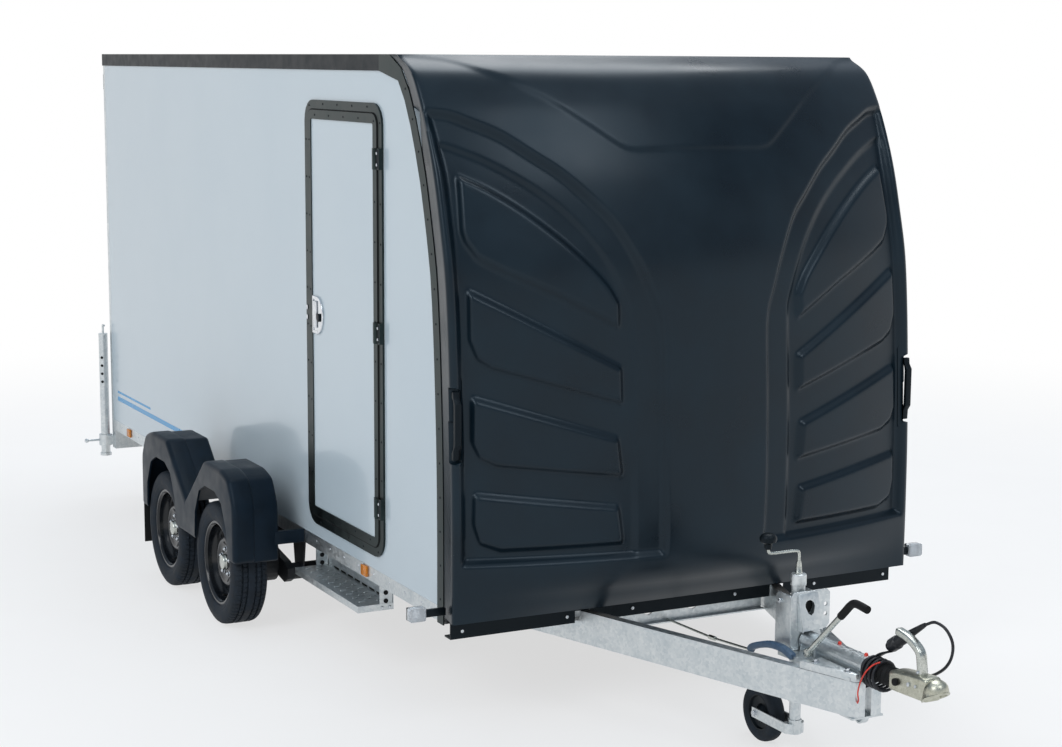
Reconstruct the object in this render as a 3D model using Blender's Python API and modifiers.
"""Enclosed tandem-axle cargo trailer with a side door, a rear ramp and a moulded front.

Metres, +Z up. The coupling points to -Y and the side door is on the -X side.
Lengths along the trailer are measured from the face of the front skirt, and
the datum empty then centres the whole length on the origin.
"""

import math

import bmesh
import bpy
import numpy as np
from mathutils import Matrix, Vector

# General sizes
GAP = 0.0003
OVERRUN = 0.05
ROUND_STEPS = 24
SMALL_STEPS = 12

# Load body
BODY_HALF = 0.962
BODY_REAR_Y = 4.345
SILL_Z = 0.443
ROOF_EDGE_Z = 2.398
WALL = 0.024
FLOOR_THICKNESS = 0.018
ROOF_THICKNESS = 0.024
ROOF_RAIL_HEIGHT = 0.060
ROOF_RAIL_COVER = 0.032
ROOF_DROP = 0.008

# Front moulding
NOSE_FOOT_Z = 0.383
NOSE_LIP_Z = 0.416
NOSE_EDGE_Y = 0.051
NOSE_SWEEP = 0.465
NOSE_SHELL = 0.020
NOSE_STAND_OUT = 0.007
NOSE_FLARE = 0.021
NOSE_SIDE = BODY_HALF + NOSE_STAND_OUT
NOSE_CORNER = NOSE_SIDE + NOSE_FLARE
NOSE_CORNER_DEPTH = 0.126
NOSE_BULGE = 0.300
NOSE_LIP_BULGE = 0.151
NOSE_ROWS = 20
NOSE_FRONT_COLUMNS = 8
NOSE_SIDE_SHARES = ((0.0, 0.0), (0.5, 0.48), (0.95, 0.84), (0.80, 0.97))
# Shares of the height and of the sweep that the front edge of the side wall follows
EDGE_SHARES = (
    (0.0, 0.0),
    (0.155, 0.0),
    (0.280, 0.009),
    (0.404, 0.034),
    (0.526, 0.071),
    (0.626, 0.123),
    (0.708, 0.211),
    (0.791, 0.318),
    (0.866, 0.452),
    (0.924, 0.585),
    (0.972, 0.750),
    (1.0, 1.0),
)
# Shares of the height and of the bulge of the front face
BULGE_SHARES = ((0.0, 0.0), (0.03, 0.35), (0.10, 0.93), (0.30, 1.0), (0.70, 1.05), (1.0, 1.08))
TRIM_WIDTH = 0.052
TRIM_THICKNESS = 0.0045
TRIM_REAR_Y = 0.612

# Front skirt
SKIRT_FOOT_Z = 0.3425
SKIRT_THICKNESS = 0.006

# Grab handles in the corners of the moulding
HANDLE_OUT = 0.014
HANDLE_X = BODY_HALF + HANDLE_OUT
HANDLE_Y = -0.058
HANDLE_Z = 1.123
HANDLE_LENGTH = 0.22
HANDLE_RADIUS = 0.011
POCKET_HALF_HEIGHT = 0.132
POCKET_HALF_WIDTH = 0.045
POCKET_DEPTH = 0.050

# Side door
DOOR_FRONT_Y = 0.620
DOOR_REAR_Y = 1.326
DOOR_FOOT_Z = 0.538
DOOR_HEAD = 0.217
DOOR_TOP_Z = ROOF_EDGE_Z - DOOR_HEAD
DOOR_CLEARANCE = 0.005
DOOR_CORNER = 0.044
DOOR_FRAME_WIDTH = 0.039
DOOR_FRAME_THICKNESS = 0.008
DOOR_TRIM = 0.036
DOOR_TRIM_THICKNESS = 0.004
DOOR_HINGE_OUT = 0.012
DOOR_HINGE_RADIUS = 0.009
DOOR_HINGE_HEIGHT = 0.078
DOOR_HINGE_REACH = 0.024
DOOR_MIDDLE_Z = (DOOR_FOOT_Z + DOOR_TOP_Z) / 2
DOOR_HINGE_FOOT = 0.159
DOOR_HINGE_LIFT = 0.0075
DOOR_HINGE_HEAD = 0.165
DOOR_HINGE_Z = (
    DOOR_FOOT_Z + DOOR_HINGE_FOOT,
    DOOR_MIDDLE_Z + DOOR_HINGE_LIFT,
    DOOR_TOP_Z - DOOR_HINGE_HEAD,
)
LOCK_LIFT = 0.0045
LOCK_Z = DOOR_MIDDLE_Z + LOCK_LIFT
LOCK_HEIGHT = 0.170
LOCK_WIDTH = 0.075
LOCK_THICKNESS = 0.024
LOCK_STEPS = 12

# Rear ramp and its portal
POST_WIDTH = 0.050
PORTAL_DEPTH = 0.030
HEADER_HEIGHT = 0.070
RAMP_CLEARANCE = 0.006
RAMP_THICKNESS = 0.025
RAMP_HINGE_OUT = 0.009
RAMP_HINGE_RADIUS = 0.008
RAMP_HINGE_X = (-0.640, 0.0, 0.640)
RAMP_HINGE_HALF = 0.060
RAMP_HINGE_LEAF = 0.036

# Chassis
RAIL_FOOT_Z = 0.387
RAIL_WIDTH = 0.062
RAIL_HALF = BODY_HALF
SKIRT_FLANGE = 0.050
CROSS_DEPTH = 0.040
MID_CROSS_Y = 1.270
REAR_CROSS_FOOT_Z = 0.285
REAR_CROSS_DEPTH = 0.060
BEAM_WIDTH = 0.040
BEAM_HEIGHT = 0.120
BEAM_FRONT_Y = -1.160
BEAM_FRONT_X = 0.052
BEAM_REAR_Y = 1.258
BEAM_REAR_INSET = 0.09997
BEAM_SPLAY = (BODY_HALF - BEAM_REAR_INSET - BEAM_FRONT_X) / (BEAM_REAR_Y - BEAM_FRONT_Y)
HOLED_Y = 0.110
HOLED_THICKNESS = 0.005
HOLED_FLANGE = 0.030
HOLE_RADIUS = 0.026
SMALL_HOLE_RADIUS = 0.012
HOLE_SHARES = (-0.10, 0.13)
SMALL_HOLE_SHARE = -0.31

# Wheels
AXLE_FRONT_Y = 1.732
AXLE_SPACING = 0.702
AXLE_Y = (AXLE_FRONT_Y, AXLE_FRONT_Y + AXLE_SPACING)
TYRE_RADIUS = 0.2625
TYRE_WIDTH = 0.155
TYRE_OUT = 0.298
TYRE_OUTER_X = BODY_HALF + TYRE_OUT
TYRE_SIDEWALL = 0.0835
SHOULDER = 0.012
RIM_FLANGE = 0.013
RIM_DROP = 0.014
RIM_RADIUS = TYRE_RADIUS - TYRE_SIDEWALL
RIM_SEAT_RADIUS = RIM_RADIUS - RIM_FLANGE
RIM_WELL_RADIUS = RIM_SEAT_RADIUS - RIM_DROP
RIM_HALF_WIDTH = 0.062
RIM_WALL = 0.005
RIM_DISC_OFFSET = 0.022
HUB_CAP_RADIUS = 0.034
HUB_CAP_HEIGHT = 0.024

# Axles with trailing arms
AXLE_TUBE_RADIUS = 0.036
AXLE_TUBE_DROP = 0.0305
AXLE_TUBE_Z = TYRE_RADIUS - AXLE_TUBE_DROP
AXLE_ARM = 0.160
AXLE_ARM_OUT = 0.013
AXLE_ARM_X = BODY_HALF + AXLE_ARM_OUT
AXLE_ARM_WIDTH = 0.030
AXLE_EYE = 0.044
DRUM_RADIUS = 0.100
DRUM_WIDTH = 0.085
STUB_RADIUS = 0.028
HANGER_HALF = 0.070
HANGER_THICKNESS = 0.008

# Mudguards: two arches in one sheet
GUARD_COVER = 0.015
GUARD_OUTER_X = TYRE_OUTER_X + GUARD_COVER
GUARD_CLEAR = 0.030
GUARD_INNER_X = TYRE_OUTER_X - TYRE_WIDTH - GUARD_CLEAR
GUARD_LIFT = 0.165
GUARD_AROUND = 0.0355
GUARD_FOOT_LIFT = 0.0555
GUARD_VALLEY_LIFT = 0.2075
GUARD_TOP_Z = 2 * TYRE_RADIUS + GUARD_LIFT
GUARD_FOOT_Z = TYRE_RADIUS + GUARD_FOOT_LIFT
GUARD_HALF = TYRE_RADIUS + GUARD_AROUND
GUARD_VALLEY_Z = TYRE_RADIUS + GUARD_VALLEY_LIFT
GUARD_SHEET = 0.006
GUARD_BAND = 0.009
GUARD_ARM_GRIP = 0.018
GUARD_ARM_WIDTH = 0.020
GUARD_SHARES = ((1.0, 0.0), (1.0, 0.65), (0.80, 0.90), (0.47, 1.0))
GUARD_OPENING_SHARES = ((0.76, 0.0), (0.68, 0.33), (0.49, 0.57), (0.22, 0.72))
FLAP_FOOT_Z = 0.140
FLAP_WIDTH = 0.185
FLAP_THICKNESS = 0.008

# Coupling and overrun gear
BASE_THICKNESS = 0.012
BASE_FRONT_HALF = 0.062
BASE_REAR_HALF = 0.100
BASE_REAR_Y = -0.782
BASE_FRONT_Y = -1.140
HOUSING_RADIUS = 0.034
COUPLING_Z = RAIL_FOOT_Z + BASE_THICKNESS + HOUSING_RADIUS + 2 * GAP
HOUSING_REAR_Y = -0.812
HOUSING_FRONT_Y = -1.158
SADDLE_HALF = 0.030
BELLOWS_FRONT_Y = -1.300
BELLOWS_RADIUS = 0.034
BELLOWS_RIDGE = 0.006
BELLOWS_RIDGES = 6
HEAD_TIP_Y = -1.545
HEAD_REAR_Y = BELLOWS_FRONT_Y - GAP
HEAD_NECK_RADIUS = 0.030
HEAD_BALL_RADIUS = 0.044
HEAD_BALL_Z = 0.445
SOCKET_RADIUS = 0.0255
SOCKET_STEPS = 4
HEAD_CHEEK_HALF = 0.026
HEAD_HANDLE_HALF = 0.013
NOSE_PLATE_THICKNESS = 0.006
NOSE_PLATE_LENGTH = 0.070
LOOP_RADIUS = 0.026
LOOP_STOCK = 0.005
LOOP_HALF_WIDTH = 0.012

# Handbrake lever
LEVER_X = -0.075
LEVER_PIVOT_Y = -0.920
LEVER_PIVOT_Z = 0.426
LEVER_RADIUS = 0.008
LEVER_BOSS_RADIUS = 0.015
LEVER_BEND = (-0.230, 0.246)
LEVER_TIP = (-0.325, 0.226)
GRIP_RADIUS = 0.013
LEVER_EAR_THICKNESS = 0.008
LEVER_EAR_GAP = 0.006

# Jockey wheel
JOCKEY_Y = -0.750
JOCKEY_TUBE_RADIUS = 0.024
JOCKEY_TUBE_FOOT_Z = 0.200
JOCKEY_TUBE_TOP_Z = 0.652
JOCKEY_TUBE_WALL = 0.0035
JOCKEY_CAP = 0.020
JOCKEY_INNER_RADIUS = JOCKEY_TUBE_RADIUS - JOCKEY_TUBE_WALL - 2 * GAP
JOCKEY_INNER_TOP_Z = 0.520
JOCKEY_FORK_TOP_Z = 0.135
JOCKEY_FORK_FOOT_Z = 0.085
JOCKEY_TRAIL = 0.190
JOCKEY_WHEEL_RADIUS = 0.105
JOCKEY_WHEEL_HALF = 0.028
JOCKEY_ARM_INNER = 0.034
JOCKEY_ARM_THICKNESS = 0.005
JOCKEY_ARM_HALF = 0.018
JOCKEY_PIN_RADIUS = 0.008
JOCKEY_BORE = JOCKEY_PIN_RADIUS + 2 * GAP
BRACKET_HALF = 0.058
BRACKET_SHEET = 0.006
BRACKET_REAR_Y = -0.700
BRACKET_FRONT_Y = -0.806
BRACKET_TOP_Z = 0.618
BRACKET_HOLE_RADIUS = 0.020
COLLAR_RADIUS = 0.034
COLLAR_FOOT_Z = 0.460
COLLAR_TOP_Z = 0.540
CRANK_TOP_Z = 0.727
CRANK_REACH = 0.115
CRANK_RADIUS = 0.007
CRANK_NECK_RADIUS = 0.013
KNOB_RADIUS = 0.019
KNOB_HEIGHT = 0.045

# Cable with its plug
CABLE_RADIUS = 0.006
CABLE_TURNS = 4
CABLE_TURN_POINTS = 12
PLUG_RADIUS = 0.020
PLUG_START = (0.030, -1.235, 0.522)
PLUG_END = (0.034, -1.395, 0.632)

# Step
STEP_BEAM_GAP = 0.00797
STEP_WIDTH = 0.150
STEP_INNER_X = BODY_HALF - BEAM_REAR_INSET + STEP_BEAM_GAP
STEP_OUTER_X = STEP_INNER_X + STEP_WIDTH
STEP_FRONT_Y = 0.720
STEP_REAR_Y = 1.400
STEP_FOOT_Z = 0.266
STEP_HEIGHT = 0.026
STEP_SHEET = 0.003
HANGER_INSET = 0.006
HANGER_X = STEP_INNER_X + HANGER_INSET
HANGER_WIDTH = 0.052
STEP_HANGER_SHEET = 0.004

# Lamps
CORNER_LAMP_OUT = 0.118
CORNER_LAMP_X = BODY_HALF + CORNER_LAMP_OUT
CORNER_LAMP_Y = 0.012
CORNER_LAMP_Z = 0.450
CORNER_LAMP_HALF = 0.048
CORNER_LAMP_HEIGHT = 0.060
CORNER_LAMP_DEPTH = 0.042
LAMP_ARM_HALF = 0.016
TAIL_LAMP_INSET = 0.182
TAIL_LAMP_X = BODY_HALF - TAIL_LAMP_INSET
TAIL_LAMP_HALF = 0.115
TAIL_LAMP_HEIGHT = 0.100
TAIL_LAMP_DEPTH = 0.045

# Prop stands
STAND_OUT = 0.028
STAND_BEHIND = 0.040
STAND_X = BODY_HALF + STAND_OUT
STAND_Y = BODY_REAR_Y + STAND_BEHIND
STAND_RADIUS = 0.024
STAND_FOOT_Z = 0.236
STAND_TOP_Z = 0.905
STAND_PLATE_RADIUS = 0.030
STAND_PLATE_HEIGHT = 0.014
STAND_HOOK_HEIGHT = 0.045
CLAMP_RADIUS = 0.035
CLAMP_CLEARANCE = 0.001
CLAMP_FOOT_Z = 0.292
CLAMP_TOP_Z = 0.352
CLAMP_LEVER = 0.105
CLAMP_LEVER_RADIUS = 0.006

HALF_TURN = math.pi
QUARTER_TURN = math.pi / 2
DATUM_Y = -(HEAD_TIP_Y + STAND_Y + CLAMP_RADIUS) / 2

for old in list(bpy.data.objects):
    bpy.data.objects.remove(old)

parts = bpy.data.collections.new("Enclosed_cargo_trailer")
helpers = bpy.data.collections.new("Cutters_and_joined_shapes")
helpers.hide_render = True
bpy.context.scene.collection.children.link(parts)
bpy.context.scene.collection.children.link(helpers)

datum = bpy.data.objects.new("Datum", None)
datum.location = (0, DATUM_Y, 0)
parts.objects.link(datum)


def material(name, hex_colour, roughness, metallic=0.0):
    """A Principled material from an sRGB hex colour."""
    made = bpy.data.materials.new(name)
    made.use_nodes = True
    levels = [int(hex_colour[i : i + 2], 16) / 255 for i in (0, 2, 4)]
    linear = [c / 12.92 if c <= 0.04045 else ((c + 0.055) / 1.055) ** 2.4 for c in levels]
    shader = made.node_tree.nodes["Principled BSDF"]
    shader.inputs["Base Color"].default_value = (*linear, 1)
    shader.inputs["Roughness"].default_value = roughness
    shader.inputs["Metallic"].default_value = metallic
    made.diffuse_color = (*linear, 1)
    return made


WHITE_PANEL = material("white_panel", "E4E9EE", 0.35)
BLACK_MOULDING = material("black_moulding", "1B232A", 0.4)
BLACK_TRIM = material("black_trim", "15181A", 0.5)
ZINC = material("galvanised_steel", "B4BCC2", 0.45, 0.9)
PLYWOOD = material("birch_plywood", "6B4A32", 0.6)
RUBBER = material("tyre_rubber", "1C1D1E", 0.8)
BLACK_RIM = material("black_rim", "0E1012", 0.25, 0.5)
AXLE_BLACK = material("black_axle", "17191B", 0.5, 0.4)
CHROME = material("chrome", "D8DCE0", 0.1, 1.0)
CAST_ZINC = material("zinc_casting", "C2C6C4", 0.35, 1.0)
CLEAR_LENS = material("clear_lens", "E6ECEF", 0.15)
RED_LENS = material("red_lens", "A01814", 0.2)


def finish(obj, name, finish_material, pivot=(0, 0, 0), parent=None):
    """Names a piece, gives it its material and puts its origin on its pivot."""
    place = Vector(pivot)
    obj.name = name
    obj.data.name = name
    obj.data.materials.clear()
    obj.data.materials.append(finish_material)
    obj.data.transform(Matrix.Translation(-place))
    obj.location = place
    helpers.objects.unlink(obj)
    parts.objects.link(obj)
    obj.parent = parent or datum
    if parent:
        obj.location = place - world_of(parent)
    return obj


def world_of(obj):
    """Where a piece's origin is, from the datum."""
    place = obj.location.copy()
    above = obj.parent
    while above and above is not datum:
        place += above.location
        above = above.parent
    return place


def helper(mesh_data, name="shape"):
    obj = bpy.data.objects.new(name, mesh_data)
    helpers.objects.link(obj)
    obj.hide_render = False
    obj.display_type = "WIRE"
    obj.parent = datum
    return obj


def from_bmesh(shape, name="shape"):
    data = bpy.data.meshes.new(name)
    shape.to_mesh(data)
    shape.free()
    return helper(data, name)


def box(x_range, y_range, z_range):
    """A block between pairs of coordinates given in either order."""
    low = Vector([min(r) for r in (x_range, y_range, z_range)])
    high = Vector([max(r) for r in (x_range, y_range, z_range)])
    shape = bmesh.new()
    bmesh.ops.create_cube(shape, size=1)
    bmesh.ops.scale(shape, vec=high - low, verts=shape.verts)
    bmesh.ops.translate(shape, vec=(low + high) / 2, verts=shape.verts)
    return from_bmesh(shape)


def rod(start, end, radius, steps=SMALL_STEPS, end_radius=None):
    """A round bar, or a cone, between two points."""
    start, end = Vector(start), Vector(end)
    along = end - start
    shape = bmesh.new()
    bmesh.ops.create_cone(
        shape,
        cap_ends=True,
        segments=steps,
        radius1=radius,
        radius2=radius if end_radius is None else end_radius,
        depth=along.length,
    )
    turn = along.to_track_quat("Z", "Y").to_matrix().to_4x4()
    bmesh.ops.transform(
        shape, matrix=Matrix.Translation((start + end) / 2) @ turn, verts=shape.verts
    )
    return from_bmesh(shape)


def ball(centre, radius, steps=SMALL_STEPS):
    shape = bmesh.new()
    bmesh.ops.create_uvsphere(shape, u_segments=steps, v_segments=steps // 2, radius=radius)
    bmesh.ops.translate(shape, vec=Vector(centre), verts=shape.verts)
    return from_bmesh(shape)


def as_mesh(curve_object):
    """The curve as a mesh object with its caps welded on."""
    bpy.context.view_layer.update()
    graph = bpy.context.evaluated_depsgraph_get()
    data = bpy.data.meshes.new_from_object(curve_object.evaluated_get(graph))
    data.transform(curve_object.matrix_local)
    bpy.data.objects.remove(curve_object)
    shape = bmesh.new()
    shape.from_mesh(data)
    bmesh.ops.remove_doubles(shape, verts=shape.verts, dist=GAP / 10)
    bmesh.ops.recalc_face_normals(shape, faces=shape.faces)
    shape.to_mesh(data)
    shape.free()
    return helper(data)


def poly_spline(curve, points, closed):
    spline = curve.splines.new("POLY")
    spline.points.add(len(points) - 1)
    for point, place in zip(spline.points, points):
        point.co = (*place, 1)
    spline.use_cyclic_u = closed


def slab(outline, near, far, plane="YZ"):
    """A flat outline given thickness: YZ outlines along X, XZ along Y, XY along Z."""
    curve = bpy.data.curves.new("outline", "CURVE")
    curve.dimensions = "2D"
    curve.fill_mode = "BOTH"
    curve.extrude = abs(far - near) / 2
    poly_spline(curve, [(a, b, 0) for a, b in outline], closed=True)
    obj = bpy.data.objects.new("outline", curve)
    helpers.objects.link(obj)
    middle = (near + far) / 2
    if plane == "YZ":
        turn = Matrix(((0, 0, 1), (1, 0, 0), (0, 1, 0))).to_4x4()
        shift = Vector((middle, 0, 0))
    elif plane == "XZ":
        turn = Matrix(((1, 0, 0), (0, 0, -1), (0, 1, 0))).to_4x4()
        shift = Vector((0, middle, 0))
    else:
        turn = Matrix.Identity(4)
        shift = Vector((0, 0, middle))
    obj.matrix_local = Matrix.Translation(shift) @ turn
    return as_mesh(obj)


def wire(points, radius, resolution=2):
    """A tube along a list of points."""
    curve = bpy.data.curves.new("wire", "CURVE")
    curve.dimensions = "3D"
    curve.bevel_depth = radius
    curve.bevel_resolution = resolution
    curve.use_fill_caps = True
    poly_spline(curve, [tuple(p) for p in points], closed=False)
    obj = bpy.data.objects.new("wire", curve)
    helpers.objects.link(obj)
    return as_mesh(obj)


def turned(profile, centre, axis, steps=ROUND_STEPS, closed=False):
    """A profile of (radius, height) pairs, outer side running down, turned about an axis."""
    data = bpy.data.meshes.new("profile")
    count = len(profile)
    edges = [(i, i + 1) for i in range(count - 1)]
    if closed:
        edges.append((count - 1, 0))
    data.from_pydata([(radius, 0, height) for radius, height in profile], edges, [])
    obj = helper(data)
    screw = obj.modifiers.new("Turn", "SCREW")
    screw.axis = "Z"
    screw.steps = screw.render_steps = steps
    screw.use_merge_vertices = True
    screw.merge_threshold = GAP / 10
    screw.use_smooth_shade = True
    bpy.context.view_layer.update()
    graph = bpy.context.evaluated_depsgraph_get()
    solid = bpy.data.meshes.new_from_object(obj.evaluated_get(graph))
    bpy.data.objects.remove(obj)
    turn = Vector(axis).to_track_quat("Z", "Y").to_matrix().to_4x4()
    solid.transform(Matrix.Translation(Vector(centre)) @ turn)
    return helper(solid)


def combine(target, others, operation):
    for other in others:
        modifier = target.modifiers.new(operation.title(), "BOOLEAN")
        modifier.operation = operation
        modifier.solver = "EXACT"
        modifier.object = other
        other.hide_render = True
    return target


def fuse(target, *others):
    return combine(target, others, "UNION")


def cut(target, *others):
    return combine(target, others, "DIFFERENCE")


def soften(obj, width, segments=1):
    bevel = obj.modifiers.new("Edge", "BEVEL")
    bevel.width = width
    bevel.segments = segments
    bevel.limit_method = "ANGLE"
    return obj


def rounded(low_a, high_a, low_b, high_b, radius, steps=5):
    """The outline of a rectangle with round corners."""
    corners = (
        (high_a - radius, high_b - radius, 0),
        (low_a + radius, high_b - radius, QUARTER_TURN),
        (low_a + radius, low_b + radius, HALF_TURN),
        (high_a - radius, low_b + radius, 3 * QUARTER_TURN),
    )
    outline = []
    for a, b, start in corners:
        for step in range(steps + 1):
            angle = start + QUARTER_TURN * step / steps
            outline.append((a + radius * math.cos(angle), b + radius * math.sin(angle)))
    return outline


def smooth_path(points, per_span=6):
    """Points along a Catmull-Rom curve through the given ones."""
    known = [Vector(p) for p in points]
    known = [2 * known[0] - known[1], *known, 2 * known[-1] - known[-2]]
    path = []
    for before, start, end, after in zip(known, known[1:], known[2:], known[3:]):
        for step in range(per_span):
            t = step / per_span
            path.append(
                0.5
                * (
                    2 * start
                    + (end - before) * t
                    + (2 * before - 5 * start + 4 * end - after) * t**2
                    + (3 * start - before - 3 * end + after) * t**3
                )
            )
    return [*path, known[-2]]


def spaced(path, count):
    """The path's points set at equal distances."""
    lengths = [0.0]
    for a, b in zip(path, path[1:]):
        lengths.append(lengths[-1] + (b - a).length)
    wanted = np.linspace(0, lengths[-1], count)
    return [
        Vector([np.interp(w, lengths, [p[axis] for p in path]) for axis in range(3)])
        for w in wanted
    ]


def nose_edge():
    """The front edge of the side walls, bottom to top, as (0, y, z)."""
    height = ROOF_EDGE_Z - NOSE_FOOT_Z
    return smooth_path(
        [(0, NOSE_EDGE_Y + NOSE_SWEEP * b, NOSE_FOOT_Z + height * a) for a, b in EDGE_SHARES]
    )


EDGE_PATH = nose_edge()


def edge_rows():
    """Points at equal distances along the edge, from the moulding's lip to its top."""
    lip_y = float(np.interp(NOSE_LIP_Z, [p.z for p in EDGE_PATH], [p.y for p in EDGE_PATH]))
    above = [p for p in EDGE_PATH if p.z > NOSE_LIP_Z]
    return spaced([Vector((0, lip_y, NOSE_LIP_Z)), *above], NOSE_ROWS)


EDGE_ROWS = edge_rows()


def edge_y(z):
    """How far back the front edge of the side wall is at a height."""
    return float(np.interp(z, [p.z for p in EDGE_ROWS], [p.y for p in EDGE_ROWS]))


def bulge_at(z):
    """How far the middle of the moulding stands in front of the wall's edge."""
    share = (z - NOSE_LIP_Z) / (ROOF_EDGE_Z - NOSE_LIP_Z)
    part = float(np.interp(share, [s for s, _ in BULGE_SHARES], [b for _, b in BULGE_SHARES]))
    return NOSE_LIP_BULGE + (NOSE_BULGE - NOSE_LIP_BULGE) * part


def front_depth(x, z):
    """How far the front face stands in front of the wall's edge at a place."""
    middle = bulge_at(z)
    return middle - (middle - NOSE_CORNER_DEPTH) * (abs(x) / NOSE_CORNER) ** 2


def nose_depth_chord(x):
    """The depth at the top of the moulding, along the straight runs between its columns."""
    columns = np.linspace(-NOSE_SIDE, NOSE_SIDE, 2 * NOSE_FRONT_COLUMNS + 1)
    return float(np.interp(x, columns, [front_depth(c, ROOF_EDGE_Z) for c in columns]))


def nose_columns(z):
    """Half of a level section, from the side wall to the middle, with its inward weights."""
    flare = NOSE_CORNER - NOSE_SIDE
    columns = []
    for place, (side_share, depth_share) in enumerate(NOSE_SIDE_SHARES):
        weight = place / len(NOSE_SIDE_SHARES)
        x = NOSE_SIDE + flare * side_share
        columns.append((x, NOSE_CORNER_DEPTH * depth_share, weight))
    for x in np.linspace(NOSE_SIDE, 0, NOSE_FRONT_COLUMNS + 1):
        columns.append((float(x), front_depth(x, z), 1.0))
    return columns


def nose_shell():
    """The moulding as a shell: a sheet of rows and columns and a copy set inwards."""
    rows = EDGE_ROWS
    outer, inner = [], []
    for number, place in enumerate(rows):
        before = rows[max(number - 1, 0)]
        after = rows[min(number + 1, NOSE_ROWS - 1)]
        along = (after - before).normalized()
        inward = Vector((0, along.z, -along.y))
        if number == NOSE_ROWS - 1:
            inward = Vector((0, 0, -1))
        columns = nose_columns(place.z)
        mirrored = [(-x, depth, weight) for x, depth, weight in columns[-2::-1]]
        for x, depth, weight in columns + mirrored:
            point = Vector((x, place.y - depth, place.z))
            sideways = Vector((-math.copysign(1, x), 0, 0))
            push = sideways * (1 - weight) + inward * weight
            outer.append(point)
            inner.append(point + push.normalized() * NOSE_SHELL)
    across = len(columns) + len(mirrored)
    down = NOSE_ROWS
    faces = []
    shift = len(outer)
    for row in range(down - 1):
        for column in range(across - 1):
            a = row * across + column
            quad = (a, a + 1, a + across + 1, a + across)
            faces.append(quad)
            faces.append(tuple(shift + i for i in reversed(quad)))
    rim = [*range(across)]
    rim += [row * across + across - 1 for row in range(1, down)]
    rim += [(down - 1) * across + column for column in range(across - 2, -1, -1)]
    rim += [row * across for row in range(down - 2, 0, -1)]
    for a, b in zip(rim, rim[1:] + rim[:1]):
        faces.append((a, a + shift, b + shift, b))
    data = bpy.data.meshes.new("nose")
    data.from_pydata([*outer, *inner], [], faces)
    shape = bmesh.new()
    shape.from_mesh(data)
    bmesh.ops.recalc_face_normals(shape, faces=shape.faces)
    shape.to_mesh(data)
    shape.free()
    return helper(data)


def make_nose():
    nose = nose_shell()
    blocks, pockets = [], []
    for side in (-1, 1):
        blocks.append(
            box(
                (side * (HANDLE_X - POCKET_DEPTH - NOSE_SHELL), side * (NOSE_SIDE - NOSE_SHELL / 2)),
                (HANDLE_Y - POCKET_HALF_WIDTH + NOSE_SHELL, HANDLE_Y + POCKET_HALF_WIDTH + NOSE_SHELL),
                (HANDLE_Z - POCKET_HALF_HEIGHT - NOSE_SHELL, HANDLE_Z + POCKET_HALF_HEIGHT + NOSE_SHELL),
            )
        )
        pockets.append(
            box(
                (side * (HANDLE_X - POCKET_DEPTH / 2), side * (HANDLE_X + OVERRUN)),
                (HANDLE_Y - POCKET_HALF_WIDTH - OVERRUN, HANDLE_Y + POCKET_HALF_WIDTH / 2),
                (HANDLE_Z - POCKET_HALF_HEIGHT, HANDLE_Z + POCKET_HALF_HEIGHT),
            )
        )
    fuse(nose, *blocks)
    cut(nose, *pockets)
    finish(nose, "nose", BLACK_MOULDING)


def make_grab_handles():
    for side, name in ((-1, "grab_handle_right"), (1, "grab_handle_left")):
        x = side * HANDLE_X
        foot_x = side * (HANDLE_X - POCKET_DEPTH / 2 + GAP)
        low = HANDLE_Z - HANDLE_LENGTH / 2
        high = HANDLE_Z + HANDLE_LENGTH / 2
        points = [(foot_x, low), (x, low), (x, high), (foot_x, high)]
        points = [(a, HANDLE_Y, b) for a, b in points]
        finish(wire(points, HANDLE_RADIUS), name, BLACK_TRIM)


def wall_outline():
    rear = BODY_REAR_Y - PORTAL_DEPTH - GAP
    top = ROOF_EDGE_Z - ROOF_DROP - ROOF_THICKNESS - GAP
    levels = [SILL_Z, *[p.z for p in EDGE_ROWS if SILL_Z < p.z < top], top]
    front = [(edge_y(z) + 2 * GAP, z) for z in levels]
    return [(rear, SILL_Z), (rear, top), *reversed(front)]


def doorway(grow):
    return rounded(
        DOOR_FRONT_Y - grow,
        DOOR_REAR_Y + grow,
        DOOR_FOOT_Z - grow,
        DOOR_TOP_Z + grow,
        DOOR_CORNER + grow,
    )


def make_walls():
    left = slab(wall_outline(), BODY_HALF - WALL, BODY_HALF)
    finish(left, "wall_left", WHITE_PANEL)
    right = slab(wall_outline(), -BODY_HALF, WALL - BODY_HALF)
    opening = slab(
        doorway(DOOR_CLEARANCE), -BODY_HALF - OVERRUN, WALL - BODY_HALF + OVERRUN
    )
    cut(right, opening)
    finish(right, "wall_right", WHITE_PANEL)


def make_front_trim():
    """A riveted strip on each side wall, along the edge of the moulding."""
    path = [Vector((0, EDGE_ROWS[0].y, NOSE_FOOT_Z)), *EDGE_ROWS]
    corner_z = ROOF_EDGE_Z - ROOF_RAIL_HEIGHT
    inside = []
    for place, after in zip(path, path[1:]):
        along = (after - place).normalized()
        point = (place.y + along.z * TRIM_WIDTH, place.z - along.y * TRIM_WIDTH)
        if point[1] < corner_z - TRIM_WIDTH / 2:
            inside.append(point)
    inside += [(TRIM_REAR_Y, corner_z), (TRIM_REAR_Y, ROOF_EDGE_Z)]
    outline = [(p.y + 2 * GAP, p.z) for p in path] + inside[::-1]
    for side, name in ((-1, "front_trim_right"), (1, "front_trim_left")):
        near = BODY_HALF + GAP
        strip = slab(outline, side * near, side * (near + TRIM_THICKNESS))
        finish(strip, name, BLACK_TRIM)


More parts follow.
